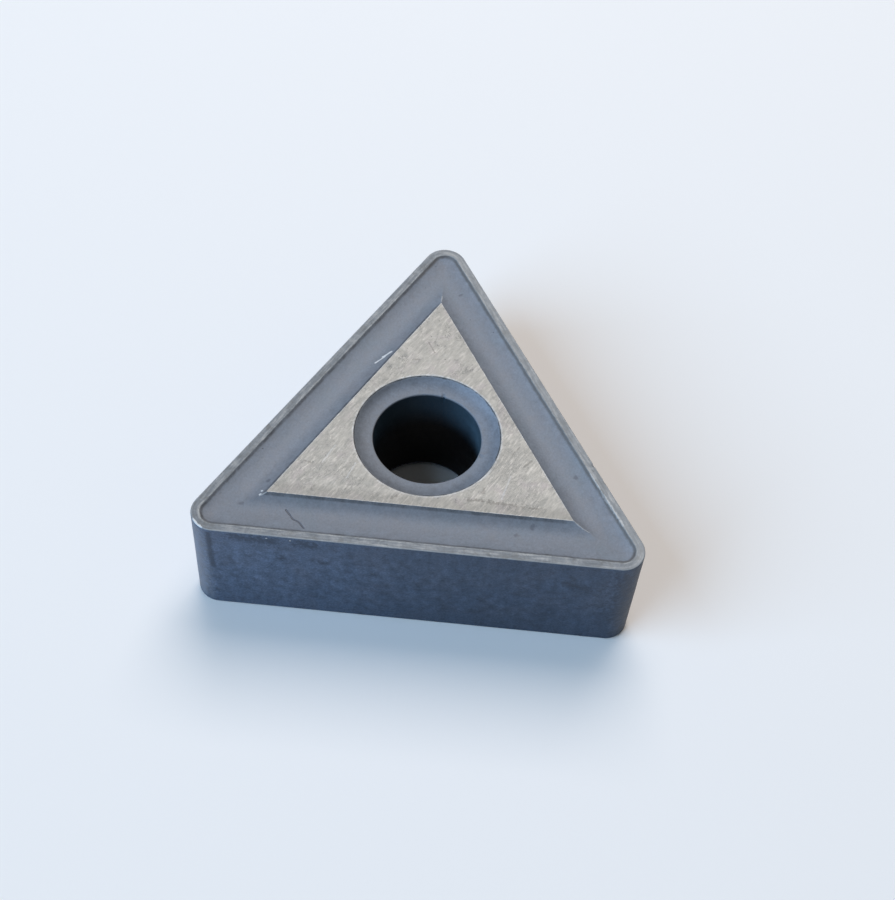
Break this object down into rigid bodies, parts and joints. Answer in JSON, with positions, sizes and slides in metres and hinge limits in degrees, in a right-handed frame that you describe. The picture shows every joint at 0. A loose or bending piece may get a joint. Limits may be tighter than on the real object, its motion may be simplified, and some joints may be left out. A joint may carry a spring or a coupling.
{
  "type": "turning insert",
  "caption": "Triangular cutting insert with rounded noses, a chip groove on both faces and a round fixing hole.",
  "frame": {"origin": "on the fixing hole's axis, at mid thickness", "axes": "+Z along the hole out of the upper face, one nose on +Y, the opposite flank facing -Y"},
  "size_m": [0.0154, 0.0135, 0.0048],
  "materials": {
    "cemented_carbide": "bare cemented carbide: as sintered on the groove, the hole and the flanks, ground on the seat faces and the rim land"
  },
  "bodies": {
    "root": {"insert": "cemented_carbide"}
  },
  "joints": []
}
